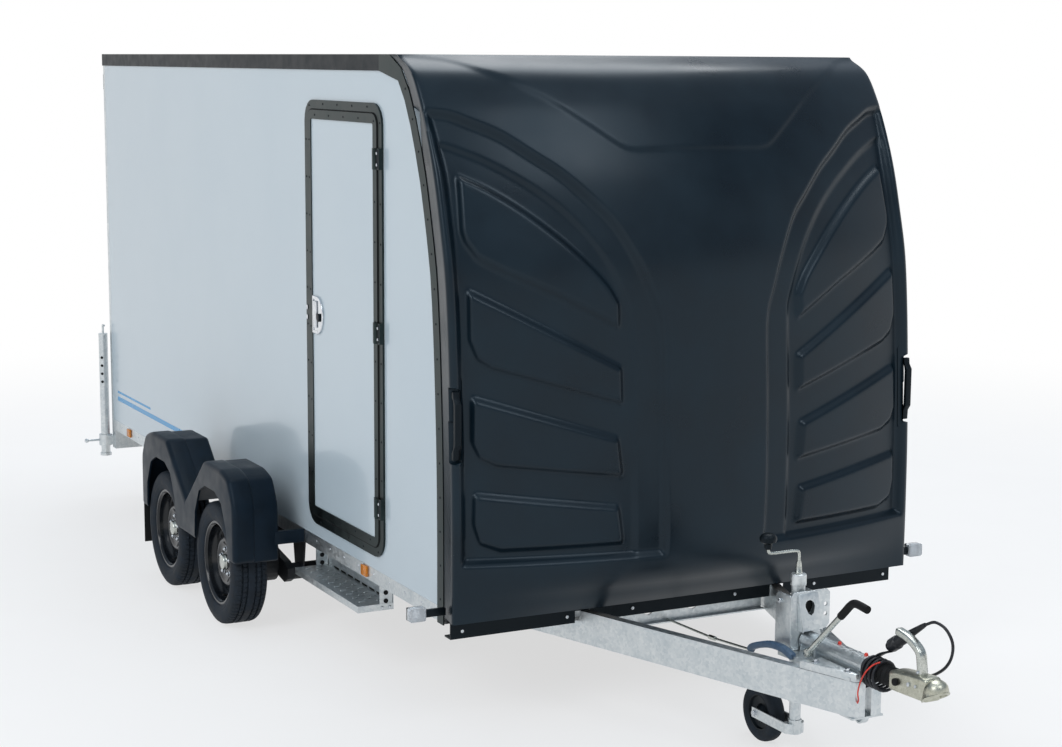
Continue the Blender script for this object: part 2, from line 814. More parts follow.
def make_roof():
    top = ROOF_EDGE_Z - ROOF_DROP
    rear = BODY_REAR_Y - PORTAL_DEPTH - GAP
    shoulder_y = EDGE_ROWS[-1].y + 2 * GAP
    inside = NOSE_SIDE - NOSE_SHELL - 2 * GAP
    front = []
    for x in np.linspace(-inside, inside, 2 * NOSE_FRONT_COLUMNS + 1):
        front.append((float(x), shoulder_y - nose_depth_chord(float(x))))
    outline = [
        (inside, shoulder_y),
        (BODY_HALF, shoulder_y),
        (BODY_HALF, rear),
        (-BODY_HALF, rear),
        (-BODY_HALF, shoulder_y),
        (-inside, shoulder_y),
    ]
    roof = slab(front + outline, top - ROOF_THICKNESS, top, "XY")
    finish(roof, "roof", WHITE_PANEL)
    outer = BODY_HALF + GAP + TRIM_THICKNESS
    front = TRIM_REAR_Y + GAP
    section = [
        (BODY_HALF + GAP, ROOF_EDGE_Z - ROOF_RAIL_HEIGHT),
        (outer, ROOF_EDGE_Z - ROOF_RAIL_HEIGHT),
        (outer, ROOF_EDGE_Z),
        (BODY_HALF - ROOF_RAIL_COVER, ROOF_EDGE_Z),
        (BODY_HALF - ROOF_RAIL_COVER, top + GAP),
        (BODY_HALF + GAP, top + GAP),
    ]
    for side, name in ((-1, "roof_rail_right"), (1, "roof_rail_left")):
        outline = [(side * x, z) for x, z in section]
        rail = slab(outline, front, BODY_REAR_Y, "XZ")
        finish(rail, name, BLACK_TRIM)


def make_floor():
    inside = BODY_HALF - WALL - GAP
    rear = BODY_REAR_Y - PORTAL_DEPTH - GAP
    top = SILL_Z + FLOOR_THICKNESS
    clearance = NOSE_SHELL + WALL / 2
    front = []
    for x in np.linspace(-inside, inside, SMALL_STEPS + 1):
        level = SILL_Z
        front.append((float(x), edge_y(level) - front_depth(x, level) + clearance))
    floor = slab([(inside, rear), (-inside, rear), *front], SILL_Z + GAP, top, "XY")
    finish(floor, "floor", PLYWOOD)


def make_skirt():
    half = BODY_HALF
    skirt = box((-half, half), (0, SKIRT_THICKNESS), (SKIRT_FOOT_Z, NOSE_LIP_Z - GAP))
    flange = box(
        (-half, half),
        (SKIRT_THICKNESS / 2, SKIRT_FLANGE),
        (SKIRT_FOOT_Z, SKIRT_FOOT_Z + SKIRT_THICKNESS),
    )
    fuse(skirt, flange)
    for side in (-1, 1):
        reach = SKIRT_FLANGE + SKIRT_THICKNESS
        notch = box(
            (side * (beam_x(0) - BEAM_WIDTH - SKIRT_THICKNESS), side * beam_x(reach)),
            (-OVERRUN, reach),
            (SKIRT_FOOT_Z - OVERRUN, RAIL_FOOT_Z),
        )
        cut(skirt, notch)
    finish(skirt, "front_skirt", BLACK_TRIM)


def make_door_frame():
    outer_x = -(BODY_HALF + GAP)
    face_x = outer_x - DOOR_FRAME_THICKNESS
    frame = slab(doorway(DOOR_FRAME_WIDTH), outer_x, face_x)
    cut(frame, slab(doorway(DOOR_CLEARANCE), outer_x + OVERRUN, face_x - OVERRUN))
    plates = [
        box(
            (face_x + DOOR_FRAME_THICKNESS / 2, face_x - DOOR_HINGE_OUT),
            (
                DOOR_FRONT_Y - DOOR_FRAME_WIDTH,
                DOOR_FRONT_Y - DOOR_CLEARANCE / 2 - DOOR_HINGE_RADIUS - 2 * GAP,
            ),
            (z - DOOR_HINGE_HEIGHT / 2, z + DOOR_HINGE_HEIGHT / 2),
        )
        for z in DOOR_HINGE_Z
    ]
    fuse(frame, *plates)
    finish(frame, "door_frame", BLACK_TRIM)
    return face_x


def make_door(face_x):
    """The leaf, its black edge with the hinge knuckles, and its lock, on one hinge."""
    pivot = (face_x - DOOR_HINGE_OUT, DOOR_FRONT_Y - DOOR_CLEARANCE / 2, 0)
    hinge = bpy.data.objects.new("Door_hinge", None)
    hinge.location = pivot
    hinge.parent = datum
    parts.objects.link(hinge)
    leaf = slab(doorway(0), face_x, WALL - BODY_HALF)
    finish(leaf, "side_door", WHITE_PANEL, pivot, hinge)

    near = face_x - GAP
    far = near - DOOR_TRIM_THICKNESS
    trim = slab(doorway(0), near, far)
    cut(trim, slab(doorway(-DOOR_TRIM), near + OVERRUN, far - OVERRUN))
    knuckles = []
    for z in DOOR_HINGE_Z:
        low, high = z - DOOR_HINGE_HEIGHT / 2, z + DOOR_HINGE_HEIGHT / 2
        knuckles.append(rod((*pivot[:2], low), (*pivot[:2], high), DOOR_HINGE_RADIUS))
        knuckles.append(
            box(
                (pivot[0], (near + far) / 2),
                (DOOR_FRONT_Y, DOOR_FRONT_Y + DOOR_HINGE_REACH),
                (low, high),
            )
        )
    fuse(trim, *knuckles)
    finish(trim, "door_trim", BLACK_TRIM, pivot, hinge)

    flat_y = DOOR_REAR_Y - DOOR_TRIM - GAP
    outline = [(flat_y, LOCK_Z + LOCK_HEIGHT / 2), (flat_y, LOCK_Z - LOCK_HEIGHT / 2)]
    for step in range(LOCK_STEPS + 1):
        angle = -QUARTER_TURN + HALF_TURN * step / LOCK_STEPS
        outline.append(
            (
                flat_y - LOCK_WIDTH / 2 - LOCK_WIDTH / 2 * math.cos(angle),
                LOCK_Z + LOCK_HEIGHT / 2 * math.sin(angle),
            )
        )
    lock = slab(outline, near, near - LOCK_THICKNESS)
    finish(lock, "door_lock", CHROME, pivot, hinge)


def make_portal():
    """Posts and header round the rear doorway, in one piece."""
    rear = BODY_REAR_Y
    front = BODY_REAR_Y - PORTAL_DEPTH
    top = ROOF_EDGE_Z - ROOF_RAIL_HEIGHT / 8 - GAP
    inner = BODY_HALF - POST_WIDTH
    under = top - HEADER_HEIGHT
    outline = [
        (-BODY_HALF, SILL_Z),
        (-inner, SILL_Z),
        (-inner, under),
        (inner, under),
        (inner, SILL_Z),
        (BODY_HALF, SILL_Z),
        (BODY_HALF, top - ROOF_DROP),
        (-BODY_HALF, top - ROOF_DROP),
    ]
    portal = slab(outline, front, rear, "XZ")
    finish(portal, "rear_portal", ZINC)
    return inner, under


def make_ramp(inner, under):
    pivot = (0, BODY_REAR_Y + RAMP_HINGE_OUT, SILL_Z + RAMP_CLEARANCE)
    hinge = bpy.data.objects.new("Ramp_hinge", None)
    hinge.location = pivot
    hinge.parent = datum
    parts.objects.link(hinge)
    half = inner - RAMP_CLEARANCE
    ramp = box(
        (-half, half),
        (BODY_REAR_Y - RAMP_THICKNESS, BODY_REAR_Y),
        (pivot[2], under - RAMP_CLEARANCE),
    )
    for x in RAMP_HINGE_X:
        low, high = x - RAMP_HINGE_HALF, x + RAMP_HINGE_HALF
        knuckle = rod((low, *pivot[1:]), (high, *pivot[1:]), RAMP_HINGE_RADIUS)
        leaf = box(
            (low, high),
            (BODY_REAR_Y - RAMP_THICKNESS / 2, pivot[1] + RAMP_HINGE_RADIUS / 2),
            (pivot[2] + GAP, pivot[2] + RAMP_HINGE_LEAF),
        )
        fuse(ramp, leaf, knuckle)
    finish(ramp, "rear_ramp", WHITE_PANEL, pivot, hinge)


def make_chassis():
    rear_cross_front = BODY_REAR_Y - REAR_CROSS_DEPTH
    for side, name in ((-1, "side_rail_right"), (1, "side_rail_left")):
        rail = box(
            (side * (RAIL_HALF - RAIL_WIDTH), side * RAIL_HALF),
            (NOSE_EDGE_Y + 2 * GAP, rear_cross_front - GAP),
            (RAIL_FOOT_Z, SILL_Z - GAP),
        )
        finish(rail, name, ZINC)
    between = RAIL_HALF - RAIL_WIDTH - GAP
    middle = box(
        (-between, between),
        (MID_CROSS_Y - CROSS_DEPTH, MID_CROSS_Y),
        (RAIL_FOOT_Z, SILL_Z - GAP),
    )
    finish(middle, "cross_member_middle", ZINC)
    rear = box(
        (-RAIL_HALF, RAIL_HALF),
        (rear_cross_front, BODY_REAR_Y),
        (REAR_CROSS_FOOT_Z, SILL_Z - GAP),
    )
    for x in RAMP_HINGE_X:
        top = SILL_Z + RAMP_CLEARANCE - RAMP_HINGE_RADIUS - 2 * GAP
        leaf = box(
            (x - RAMP_HINGE_HALF, x + RAMP_HINGE_HALF),
            (BODY_REAR_Y - RAMP_THICKNESS, BODY_REAR_Y + RAMP_HINGE_OUT + RAMP_HINGE_RADIUS / 2),
            (top - RAMP_HINGE_LEAF, top),
        )
        fuse(rear, leaf)
    finish(rear, "cross_member_rear", ZINC)


def beam_x(y):
    """Where the outer face of a drawbar beam is at a place along the trailer."""
    return BEAM_FRONT_X + BEAM_SPLAY * (y - BEAM_FRONT_Y)


def make_beams():
    top = RAIL_FOOT_Z - GAP
    for side, name in ((-1, "drawbar_beam_right"), (1, "drawbar_beam_left")):
        outline = [
            (side * beam_x(BEAM_FRONT_Y), BEAM_FRONT_Y),
            (side * beam_x(BEAM_REAR_Y), BEAM_REAR_Y),
            (side * (beam_x(BEAM_REAR_Y) - BEAM_WIDTH), BEAM_REAR_Y),
            (side * (beam_x(BEAM_FRONT_Y) - BEAM_WIDTH), BEAM_FRONT_Y),
        ]
        finish(slab(outline, top - BEAM_HEIGHT, top, "XY"), name, ZINC)
    between = beam_x(HOLED_Y - HOLED_FLANGE) - BEAM_WIDTH - 2 * GAP
    foot = top - BEAM_HEIGHT
    plate = box((-between, between), (HOLED_Y - HOLED_THICKNESS, HOLED_Y), (foot, top))
    lip = box((-between, between), (HOLED_Y - HOLED_FLANGE, HOLED_Y), (foot, foot + HOLED_THICKNESS))
    fuse(plate, lip)
    middle = foot + BEAM_HEIGHT / 2
    holes = [(share * 2 * between, HOLE_RADIUS) for share in HOLE_SHARES]
    holes.append((SMALL_HOLE_SHARE * between, SMALL_HOLE_RADIUS))
    for x, radius in holes:
        cut(plate, rod((x, HOLED_Y - OVERRUN, middle), (x, HOLED_Y + OVERRUN, middle), radius))
    finish(plate, "cross_member_holed", ZINC)


def make_wheels():
    half = TYRE_WIDTH / 2
    seat = RIM_SEAT_RADIUS + GAP
    bead = RIM_HALF_WIDTH - 2 * RIM_WALL - 2 * GAP
    flange = RIM_RADIUS + 2 * GAP
    wall = (TYRE_RADIUS - RIM_RADIUS) / 4
    upper = [
        (seat, bead),
        (flange, bead),
        (flange + wall / 4, half - SHOULDER),
        (RIM_RADIUS + 2 * wall, half),
        (TYRE_RADIUS - wall, half - SHOULDER / 4),
        (TYRE_RADIUS - wall / 4, half - SHOULDER),
        (TYRE_RADIUS, half - 2 * SHOULDER),
    ]
    tyre_profile = upper + [(r, -h) for r, h in reversed(upper)]
    disc = RIM_DISC_OFFSET
    lip = RIM_HALF_WIDTH
    inside = RIM_WELL_RADIUS - RIM_WALL
    rim_profile = [
        (0, disc + HUB_CAP_HEIGHT),
        (HUB_CAP_RADIUS, disc + HUB_CAP_HEIGHT - RIM_WALL),
        (HUB_CAP_RADIUS, disc),
        (inside, disc - RIM_WALL),
        (RIM_SEAT_RADIUS - RIM_WALL, lip - 2 * RIM_WALL),
        (RIM_RADIUS, lip),
        (RIM_RADIUS, lip - 2 * RIM_WALL + GAP),
        (RIM_SEAT_RADIUS, lip - 2 * RIM_WALL),
        (RIM_WELL_RADIUS, lip - 11 * RIM_WALL),
        (RIM_WELL_RADIUS, -lip + 10 * RIM_WALL),
        (RIM_SEAT_RADIUS, -lip + 2 * RIM_WALL),
        (RIM_RADIUS, -lip + 2 * RIM_WALL - GAP),
        (RIM_RADIUS, -lip),
        (RIM_SEAT_RADIUS - RIM_WALL, -lip + RIM_WALL),
        (inside, -lip + 10 * RIM_WALL),
        (inside, disc - 4 * RIM_WALL),
        (inside * 0.75, disc - RIM_WALL),
        (0, disc - RIM_WALL),
    ]
    for side, side_name in ((-1, "right"), (1, "left")):
        for y, place in zip(AXLE_Y, ("front", "rear")):
            centre = (side * (TYRE_OUTER_X - half), y, TYRE_RADIUS)
            hub = bpy.data.objects.new(f"Hub_{place}_{side_name}", None)
            hub.location = centre
            hub.parent = datum
            parts.objects.link(hub)
            tyre = turned(tyre_profile, centre, (side, 0, 0), closed=True)
            finish(tyre, f"tyre_{place}_{side_name}", RUBBER, centre, hub)
            rim = turned(rim_profile, centre, (side, 0, 0))
            finish(rim, f"rim_{place}_{side_name}", BLACK_RIM, centre, hub)


def make_axles():
    rim_disc_x = TYRE_OUTER_X - TYRE_WIDTH / 2 + RIM_DISC_OFFSET - RIM_WALL
    for y, name in zip(AXLE_Y, ("axle_front", "axle_rear")):
        tube_y = y - AXLE_ARM
        reach = AXLE_ARM_X + GAP
        axle = rod((-reach, tube_y, AXLE_TUBE_Z), (reach, tube_y, AXLE_TUBE_Z), AXLE_TUBE_RADIUS)
        for side in (-1, 1):
            arm_outer = AXLE_ARM_X + AXLE_ARM_WIDTH
            arm = slab(
                [
                    (tube_y - AXLE_EYE, AXLE_TUBE_Z - AXLE_EYE / 2),
                    (tube_y, AXLE_TUBE_Z - AXLE_EYE),
                    (y + AXLE_EYE / 2, TYRE_RADIUS - AXLE_EYE),
                    (y + AXLE_EYE, TYRE_RADIUS),
                    (y + AXLE_EYE / 2, TYRE_RADIUS + AXLE_EYE),
                    (tube_y, AXLE_TUBE_Z + AXLE_EYE),
                    (tube_y - AXLE_EYE, AXLE_TUBE_Z + AXLE_EYE / 2),
                ],
                side * AXLE_ARM_X,
                side * arm_outer,
            )
            drum_outer = arm_outer + DRUM_WIDTH
            drum = rod(
                (side * (arm_outer - RIM_WALL), y, TYRE_RADIUS),
                (side * drum_outer, y, TYRE_RADIUS),
                DRUM_RADIUS,
                ROUND_STEPS,
            )
            stub = rod(
                (side * AXLE_ARM_X, y, TYRE_RADIUS),
                (side * (rim_disc_x - GAP), y, TYRE_RADIUS),
                STUB_RADIUS,
            )
            hanger_x = RAIL_HALF - RAIL_WIDTH / 2
            hanger = slab(
                [
                    (tube_y - HANGER_HALF, RAIL_FOOT_Z - GAP),
                    (tube_y - AXLE_EYE, AXLE_TUBE_Z),
                    (tube_y + AXLE_EYE, AXLE_TUBE_Z),
                    (tube_y + HANGER_HALF, RAIL_FOOT_Z - GAP),
                ],
                side * hanger_x,
                side * (hanger_x + HANGER_THICKNESS),
            )
            fuse(axle, arm, drum, stub, hanger)
        finish(axle, name, AXLE_BLACK)


def guard_outline(half, top, shares, valley, inset):
    """Both arches: shares of the half width and of the height, with a valley between."""
    height = top - GUARD_FOOT_Z
    rising = [(h * half, GUARD_FOOT_Z + v * height) for h, v in shares]
    front, rear = AXLE_Y
    middle = (front + rear) / 2
    last = rising[-1]
    outline = [(front - a, z) for a, z in rising]
    outline += [(front + last[0], last[1]), (middle, valley), (rear - last[0], last[1])]
    outline += [(rear + a, z) for a, z in reversed(rising)]
    outline[0] = (outline[0][0], outline[0][1] - inset)
    outline[-1] = (outline[-1][0], outline[-1][1] - inset)
    return outline


def make_mudguards():
    outer = guard_outline(GUARD_HALF, GUARD_TOP_Z, GUARD_SHARES, GUARD_VALLEY_Z, 0)
    hollow = guard_outline(
        GUARD_HALF - GUARD_SHEET,
        GUARD_TOP_Z - GUARD_SHEET,
        GUARD_SHARES,
        GUARD_VALLEY_Z - GUARD_SHEET,
        OVERRUN,
    )
    opening_top = GUARD_TOP_Z
    height = opening_top - GUARD_FOOT_Z
    for side, name in ((-1, "mudguard_right"), (1, "mudguard_left")):
        guard = slab(outer, side * GUARD_INNER_X, side * GUARD_OUTER_X)
        cut(guard, slab(hollow, side * (GUARD_INNER_X - OVERRUN), side * (GUARD_OUTER_X - GUARD_BAND)))
        for y in AXLE_Y:
            arch = [(h * GUARD_HALF, GUARD_FOOT_Z + v * height) for h, v in GUARD_OPENING_SHARES]
            arch[0] = (arch[0][0], arch[0][1] - OVERRUN)
            outline = [(y - a, z) for a, z in arch] + [(y + a, z) for a, z in reversed(arch)]
            cut(guard, slab(outline, side * (GUARD_OUTER_X - OVERRUN), side * (GUARD_OUTER_X + OVERRUN)))
        flap_y = AXLE_Y[1] + GUARD_HALF
        flap = box(
            (side * (GUARD_OUTER_X - GUARD_BAND / 2), side * (GUARD_OUTER_X - FLAP_WIDTH)),
            (flap_y - FLAP_THICKNESS, flap_y - GAP),
            (FLAP_FOOT_Z, GUARD_FOOT_Z + FLAP_WIDTH / 4),
        )
        fuse(guard, flap)
        for leg_y, way in ((AXLE_Y[0] - GUARD_HALF, 1), (AXLE_Y[1] + GUARD_HALF, -1)):
            seat_y = leg_y + way * GUARD_SHEET / 2
            arm = box(
                (side * (RAIL_HALF + GAP), side * (GUARD_INNER_X + GUARD_ARM_GRIP)),
                (seat_y, seat_y + way * GUARD_ARM_WIDTH),
                (RAIL_FOOT_Z, SILL_Z - GAP),
            )
            fuse(guard, arm)
        finish(guard, name, BLACK_TRIM)


def make_coupling():
    top = RAIL_FOOT_Z
    base_top = top + BASE_THICKNESS
    base = slab(
        [
            (-BASE_REAR_HALF, BASE_REAR_Y),
            (-BASE_FRONT_HALF, BASE_FRONT_Y),
            (BASE_FRONT_HALF, BASE_FRONT_Y),
            (BASE_REAR_HALF, BASE_REAR_Y),
        ],
        top,
        base_top,
        "XY",
    )
    ear = slab(
        [
            (LEVER_PIVOT_Y - LEVER_BOSS_RADIUS, base_top - GAP),
            (LEVER_PIVOT_Y + 2 * LEVER_BOSS_RADIUS, base_top - GAP),
            (LEVER_PIVOT_Y + LEVER_BOSS_RADIUS, LEVER_PIVOT_Z + LEVER_BOSS_RADIUS),
            (LEVER_PIVOT_Y - LEVER_BOSS_RADIUS, LEVER_PIVOT_Z + LEVER_BOSS_RADIUS),
        ],
        LEVER_X + LEVER_RADIUS + LEVER_EAR_GAP,
        LEVER_X + LEVER_RADIUS + LEVER_EAR_GAP + LEVER_EAR_THICKNESS,
    )
    pin = rod(
        (LEVER_X + LEVER_RADIUS + GAP, LEVER_PIVOT_Y, LEVER_PIVOT_Z),
        (LEVER_X + LEVER_RADIUS + 2 * LEVER_EAR_GAP, LEVER_PIVOT_Y, LEVER_PIVOT_Z),
        LEVER_RADIUS,
    )
    fuse(base, ear, pin)
    finish(base, "coupling_base", ZINC)

    housing = rod(
        (0, HOUSING_REAR_Y, COUPLING_Z), (0, HOUSING_FRONT_Y, COUPLING_Z), HOUSING_RADIUS, ROUND_STEPS
    )
    saddle = box(
        (-SADDLE_HALF, SADDLE_HALF), (HOUSING_REAR_Y, BASE_FRONT_Y), (base_top + GAP, COUPLING_Z)
    )
    fuse(housing, saddle)
    finish(housing, "overrun_housing", ZINC)

    length = HOUSING_FRONT_Y - GAP - BELLOWS_FRONT_Y
    pitch = length / BELLOWS_RIDGES
    profile = [(0, length)]
    for ridge in range(BELLOWS_RIDGES):
        at = length - ridge * pitch
        profile += [(BELLOWS_RADIUS - BELLOWS_RIDGE, at), (BELLOWS_RADIUS, at - pitch / 2)]
    profile += [(BELLOWS_RADIUS - BELLOWS_RIDGE, 0), (0, 0)]
    bellows = turned(profile, (0, BELLOWS_FRONT_Y, COUPLING_Z), (0, 1, 0))
    finish(bellows, "overrun_bellows", BLACK_TRIM)

    ball_y = HEAD_TIP_Y + HEAD_BALL_RADIUS
    head = rod(
        (0, HEAD_REAR_Y, COUPLING_Z),
        (0, ball_y, COUPLING_Z),
        HEAD_NECK_RADIUS,
        SMALL_STEPS,
        HEAD_CHEEK_HALF,
    )
    dome = ball((0, ball_y, HEAD_BALL_Z), HEAD_BALL_RADIUS * 0.94, ROUND_STEPS)
    flange = rod(
        (0, ball_y, HEAD_BALL_Z - HEAD_BALL_RADIUS),
        (0, ball_y, HEAD_BALL_Z - HEAD_BALL_RADIUS * 0.43),
        HEAD_BALL_RADIUS,
        ROUND_STEPS,
    )
    cheeks = slab(
        [
            (HEAD_REAR_Y - 0.3 * HEAD_BALL_RADIUS, COUPLING_Z - HEAD_NECK_RADIUS),
            (ball_y + HEAD_BALL_RADIUS * 0.8, HEAD_BALL_Z - HEAD_BALL_RADIUS * 0.87),
            (ball_y + HEAD_BALL_RADIUS * 0.1, HEAD_BALL_Z + HEAD_BALL_RADIUS * 0.81),
            (HEAD_REAR_Y - 0.3 * HEAD_BALL_RADIUS, COUPLING_Z + 1.5 * HEAD_NECK_RADIUS),
        ],
        -HEAD_CHEEK_HALF,
        HEAD_CHEEK_HALF,
    )
    hinge_y = ball_y + HEAD_BALL_RADIUS
    handle = slab(
        [
            (hinge_y - 0.6 * HEAD_BALL_RADIUS, HEAD_BALL_Z),
            (hinge_y - 0.55 * HEAD_BALL_RADIUS, HEAD_BALL_Z + 1.7 * HEAD_BALL_RADIUS),
            (hinge_y + 1.3 * HEAD_BALL_RADIUS, HEAD_BALL_Z + 3.4 * HEAD_BALL_RADIUS),
            (hinge_y + 2.3 * HEAD_BALL_RADIUS, HEAD_BALL_Z + 3.7 * HEAD_BALL_RADIUS),
            (hinge_y + 2.3 * HEAD_BALL_RADIUS, HEAD_BALL_Z + 3.2 * HEAD_BALL_RADIUS),
            (hinge_y + 1.3 * HEAD_BALL_RADIUS, HEAD_BALL_Z + 2.8 * HEAD_BALL_RADIUS),
            (hinge_y + 0.1 * HEAD_BALL_RADIUS, HEAD_BALL_Z + 1.5 * HEAD_BALL_RADIUS),
            (hinge_y + 0.1 * HEAD_BALL_RADIUS, HEAD_BALL_Z),
        ],
        -HEAD_HANDLE_HALF,
        HEAD_HANDLE_HALF,
    )
    fuse(head, dome, flange, cheeks, handle)
    dome_profile = []
    for step in range(SOCKET_STEPS + 1):
        angle = QUARTER_TURN * step / SOCKET_STEPS
        dome_profile.append((SOCKET_RADIUS * math.sin(angle), SOCKET_RADIUS * math.cos(angle)))
    mouth_z = -HEAD_BALL_RADIUS - OVERRUN
    dome_profile += [(SOCKET_RADIUS, mouth_z), (0, mouth_z)]
    cut(head, turned(dome_profile, (0, ball_y, HEAD_BALL_Z), (0, 0, 1)))
    finish(head, "coupling_head", CAST_ZINC)

    foot = RAIL_FOOT_Z - GAP - BEAM_HEIGHT
    plate_top = foot - GAP
    plate_foot = plate_top - NOSE_PLATE_THICKNESS
    plate = box(
        (-BASE_FRONT_HALF, BASE_FRONT_HALF),
        (BEAM_FRONT_Y, BEAM_FRONT_Y + NOSE_PLATE_LENGTH),
        (plate_foot, plate_top),
    )
    loop_y = BEAM_FRONT_Y + NOSE_PLATE_LENGTH / 2
    steps = SMALL_STEPS
    bow, hollow = [], []
    for step in range(steps + 1):
        angle = HALF_TURN + HALF_TURN * step / steps
        bow.append((loop_y + LOOP_RADIUS * math.cos(angle), plate_foot + LOOP_RADIUS * math.sin(angle)))
        inner = LOOP_RADIUS - LOOP_STOCK
        hollow.append((loop_y + inner * math.cos(angle), plate_foot + inner * math.sin(angle)))
    bow = [(bow[0][0], plate_top - LOOP_STOCK / 2), *bow, (bow[-1][0], plate_top - LOOP_STOCK / 2)]
    strap = slab(bow, -LOOP_HALF_WIDTH, LOOP_HALF_WIDTH)
    fuse(plate, strap)
    cut(plate, slab(hollow, -OVERRUN, OVERRUN))
    finish(plate, "tow_loop", ZINC)


def make_brake_lever():
    pivot = Vector((LEVER_X, LEVER_PIVOT_Y, LEVER_PIVOT_Z))
    bend = pivot + Vector((0, *LEVER_BEND))
    tip = pivot + Vector((0, *LEVER_TIP))
    lever = rod(pivot, bend, LEVER_RADIUS)
    boss = rod(
        pivot - Vector((LEVER_RADIUS, 0, 0)), pivot + Vector((LEVER_RADIUS, 0, 0)), LEVER_BOSS_RADIUS
    )
    start = bend.lerp(pivot, GRIP_RADIUS * 4 / LEVER_BEND[1] / 2)
    grip = wire(smooth_path([start, bend, bend.lerp(tip, 0.35), tip], 4), GRIP_RADIUS, 3)
    fuse(lever, boss, grip)
    finish(lever, "brake_lever", ZINC, pivot)


